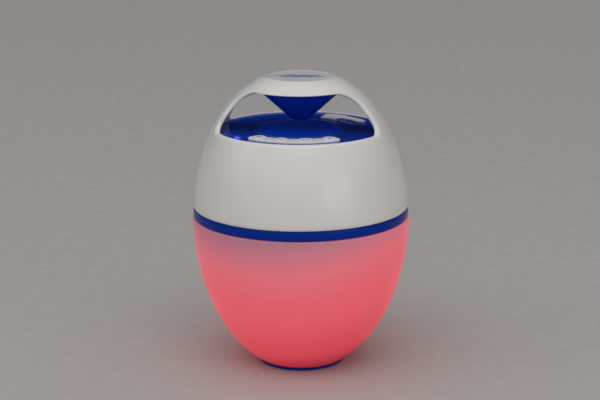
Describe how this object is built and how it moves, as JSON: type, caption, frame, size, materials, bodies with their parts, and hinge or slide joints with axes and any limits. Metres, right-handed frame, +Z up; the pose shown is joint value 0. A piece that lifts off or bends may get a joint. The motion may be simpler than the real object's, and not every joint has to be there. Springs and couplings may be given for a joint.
{
  "type": "floating pool light",
  "caption": "Egg-shaped floating pool light with a glowing translucent bowl, a carry bridge and a loudspeaker under a diffuser cone.",
  "frame": {"origin": "middle of the underside of the base foot, where the light stands", "axes": "+Z up along the axis of the egg, -Y the front with the keypad, +X to the right seen from the front"},
  "size_m": [0.1406, 0.1406, 0.1891],
  "materials": {
    "shell_white": "glossy moulded white",
    "badge_grey": "satin pale grey with a blue wave",
    "blue_gloss": "glossy royal blue",
    "blue_textured": "royal blue, finely textured",
    "silicone": "soft white silicone",
    "bowl": "translucent, lit pink-red from inside",
    "status_glow": "blue-violet light pipe",
    "steel": "zinc plated",
    "ferrite": "dark cast",
    "black_plastic": "moulded black",
    "paper": "pressed paper",
    "rubber": "soft black",
    "white_plastic": "matt white",
    "circuit": "green solder mask",
    "cell_wrap": "shrink-wrapped can",
    "lamp": "lamp package"
  },
  "bodies": {
    "casing": {"upper_shell": "shell_white", "top_badge": "badge_grey", "diffuser_cone": "blue_textured", "deck": "blue_gloss", "speaker_grille": "blue_textured", "grille_ring": "blue_gloss", "keypad_strip": "silicone", "status_lens": "status_glow", "port_cover": "silicone", "charging_socket": "steel", "button_board": "circuit", "driver_frame": "black_plastic", "driver_magnet": "ferrite", "driver_surround": "rubber", "chassis_plate": "black_plastic", "main_board": "circuit", "battery_cradle": "black_plastic", "battery_cell": "cell_wrap", "reflector": "white_plastic", "led_board": "circuit", "band_ring": "blue_gloss", "seal_ring": "rubber", "lower_bowl": "bowl", "ballast_weight": "ferrite", "base_foot": "blue_gloss", "cone_screw_1": "steel", "cone_screw_2": "steel", "cone_screw_3": "steel", "tact_switch_1": "black_plastic", "tact_switch_2": "black_plastic", "tact_switch_3": "black_plastic", "tact_switch_4": "black_plastic", "deck_screw_1": "steel", "deck_screw_2": "steel", "deck_screw_3": "steel", "driver_screw_1": "steel", "driver_screw_2": "steel", "driver_screw_3": "steel", "driver_screw_4": "steel", "board_screw_1": "steel", "board_screw_2": "steel", "led_1": "lamp", "led_2": "lamp", "led_3": "lamp", "led_4": "lamp", "led_5": "lamp", "led_6": "lamp", "shell_screw_1": "steel", "shell_screw_2": "steel", "shell_screw_3": "steel", "shell_screw_4": "steel", "foot_screw_1": "steel", "foot_screw_2": "steel", "foot_screw_3": "steel"},
    "port_flap": {"port_flap": "silicone"},
    "driver_cone": {"driver_cone": "paper"},
    "button_light": {"button_light": "silicone"},
    "button_volume_down": {"button_volume_down": "silicone"},
    "button_play": {"button_play": "silicone"},
    "button_volume_up": {"button_volume_up": "silicone"}
  },
  "joints": [
    {"name": "press_light", "type": "slide", "parent": "casing", "child": "button_light", "axis": [0, 0, -1], "range_m": [0, 0.0008], "stiffness_N_per_m": 800},
    {"name": "press_volume_down", "type": "slide", "parent": "casing", "child": "button_volume_down", "axis": [0, 0, -1], "range_m": [0, 0.0008], "stiffness_N_per_m": 800},
    {"name": "press_play", "type": "slide", "parent": "casing", "child": "button_play", "axis": [0, 0, -1], "range_m": [0, 0.0008], "stiffness_N_per_m": 800},
    {"name": "press_volume_up", "type": "slide", "parent": "casing", "child": "button_volume_up", "axis": [0, 0, -1], "range_m": [0, 0.0008], "stiffness_N_per_m": 800},
    {"name": "port_flap_lift", "type": "hinge", "parent": "casing", "child": "port_flap", "pos_m": [0.02393, 0.03799, 0.1557], "axis": [-0.5329, -0.8462, 0], "range_deg": [0, 110], "stiffness_Nm_per_rad": 0.0004},
    {"name": "driver_travel", "type": "slide", "parent": "casing", "child": "driver_cone", "axis": [0, 0, 1], "range_m": [-0.0012, 0.0012], "stiffness_N_per_m": 1500}
  ]
}
